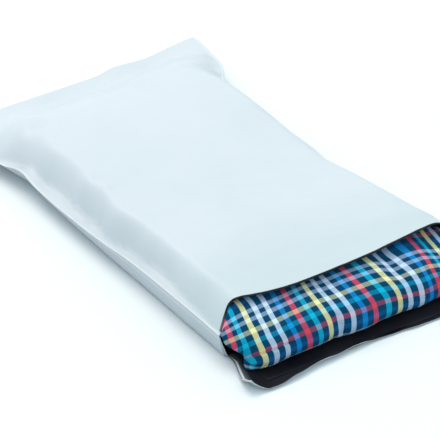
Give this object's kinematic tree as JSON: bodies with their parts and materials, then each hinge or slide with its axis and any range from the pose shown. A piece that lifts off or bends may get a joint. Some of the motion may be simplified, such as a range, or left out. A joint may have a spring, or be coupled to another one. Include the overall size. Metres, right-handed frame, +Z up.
{
  "type": "poly mailer bag",
  "caption": "Filled two-tone poly mailer lying flat, open at the mouth, with its closure lip under a folded check garment.",
  "frame": {"origin": "middle of the bounding box's underside, on the surface the bag lies on", "axes": "+X across the bag, +Y from the open mouth towards the closed end, +Z up"},
  "size_m": [0.254, 0.447, 0.0458],
  "materials": {
    "film_outside": "pale bluish white polyethylene film with a soft sheen and faint wrinkles",
    "film_inside": "black inner layer of the same film, soft gloss",
    "adhesive": "hot-melt adhesive, tacky, seen only at its ends",
    "liner": "thin clear release film over the black lip, glossy",
    "check_cloth": "yarn-dyed cotton check in blue, navy, cyan, red, yellow and white"
  },
  "bodies": {
    "root": {"bag_film": "film_outside", "adhesive_strip": "adhesive", "release_liner": "liner", "folded_garment": "check_cloth"}
  },
  "joints": []
}
